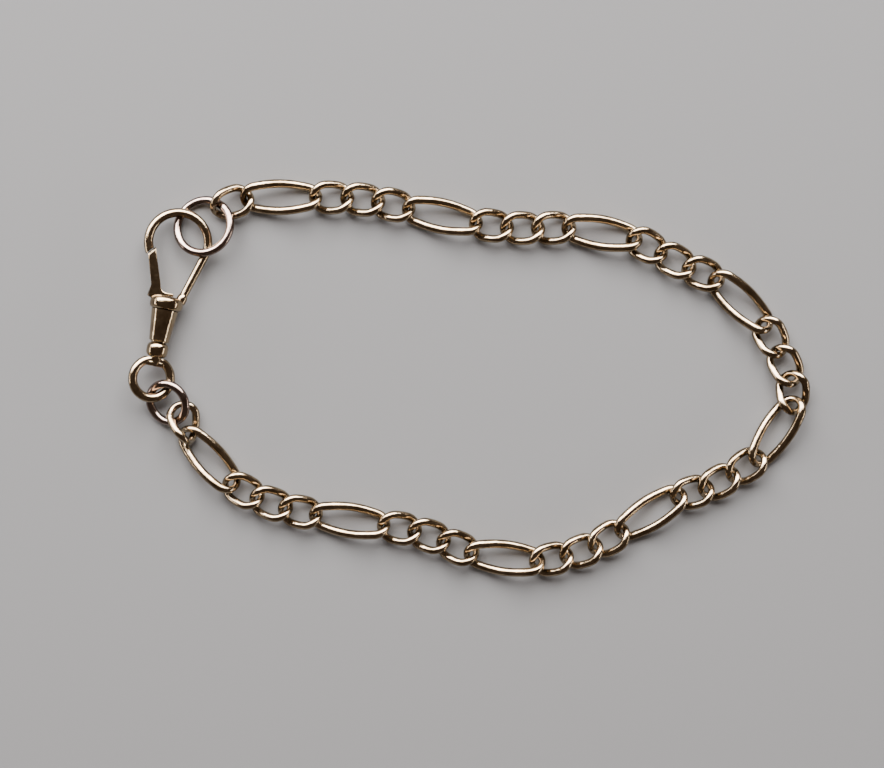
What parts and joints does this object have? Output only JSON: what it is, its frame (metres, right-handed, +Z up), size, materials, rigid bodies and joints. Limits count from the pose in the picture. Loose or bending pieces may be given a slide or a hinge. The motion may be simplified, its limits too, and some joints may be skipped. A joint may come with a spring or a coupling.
{
  "type": "link bracelet",
  "caption": "Figaro link bracelet of gold wire, long and short twisted oval links, closed by a swivel dog clip through jump rings, laid flat.",
  "frame": {"origin": "under the middle of the bracelet's box, on the surface it lies on", "axes": "+Z up from the surface; +X along the loop's long way, away from the clip; +Y along the clip's side of the loop toward the hook"},
  "size_m": [0.0849, 0.0498, 0.0042],
  "materials": {
    "links": "polished nine-carat gold, softly worn",
    "rings": "polished nine-carat gold, slightly rosier",
    "clip": "polished nine-carat gold with small nicks"
  },
  "bodies": {
    "chain": {"short_link_01": "links", "long_link_02": "links", "short_link_03": "links", "short_link_04": "links", "short_link_05": "links", "long_link_06": "links", "short_link_07": "links", "short_link_08": "links", "short_link_09": "links", "long_link_10": "links", "short_link_11": "links", "short_link_12": "links", "short_link_13": "links", "long_link_14": "links", "short_link_15": "links", "short_link_16": "links", "short_link_17": "links", "long_link_18": "links", "short_link_19": "links", "short_link_20": "links", "short_link_21": "links", "long_link_22": "links", "short_link_23": "links", "short_link_24": "links", "short_link_25": "links", "long_link_26": "links", "short_link_27": "links", "short_link_28": "links", "short_link_29": "links", "long_link_30": "links", "short_link_31": "links", "short_link_32": "links", "short_link_33": "links", "long_link_34": "links", "short_link_35": "links", "hook_ring": "rings", "end_ring": "rings", "clip_body": "clip"},
    "swivel": {"swivel_ring": "clip"},
    "gate": {"clip_gate": "clip"}
  },
  "joints": [
    {"name": "gate_hinge", "type": "hinge", "parent": "chain", "child": "gate", "pos_m": [-0.03868, 0.00962, 0.00223], "axis": [0.1438, 0.0112, 0.9895], "range_deg": [-22, 0], "stiffness_Nm_per_rad": 0.008, "springref_deg": 17.19},
    {"name": "swivel_turn", "type": "hinge", "parent": "chain", "child": "swivel", "pos_m": [-0.03867, 0.00496, 0.00228], "axis": [0.1878, 0.9815, -0.0384], "range_deg": [-2, 5]}
  ]
}
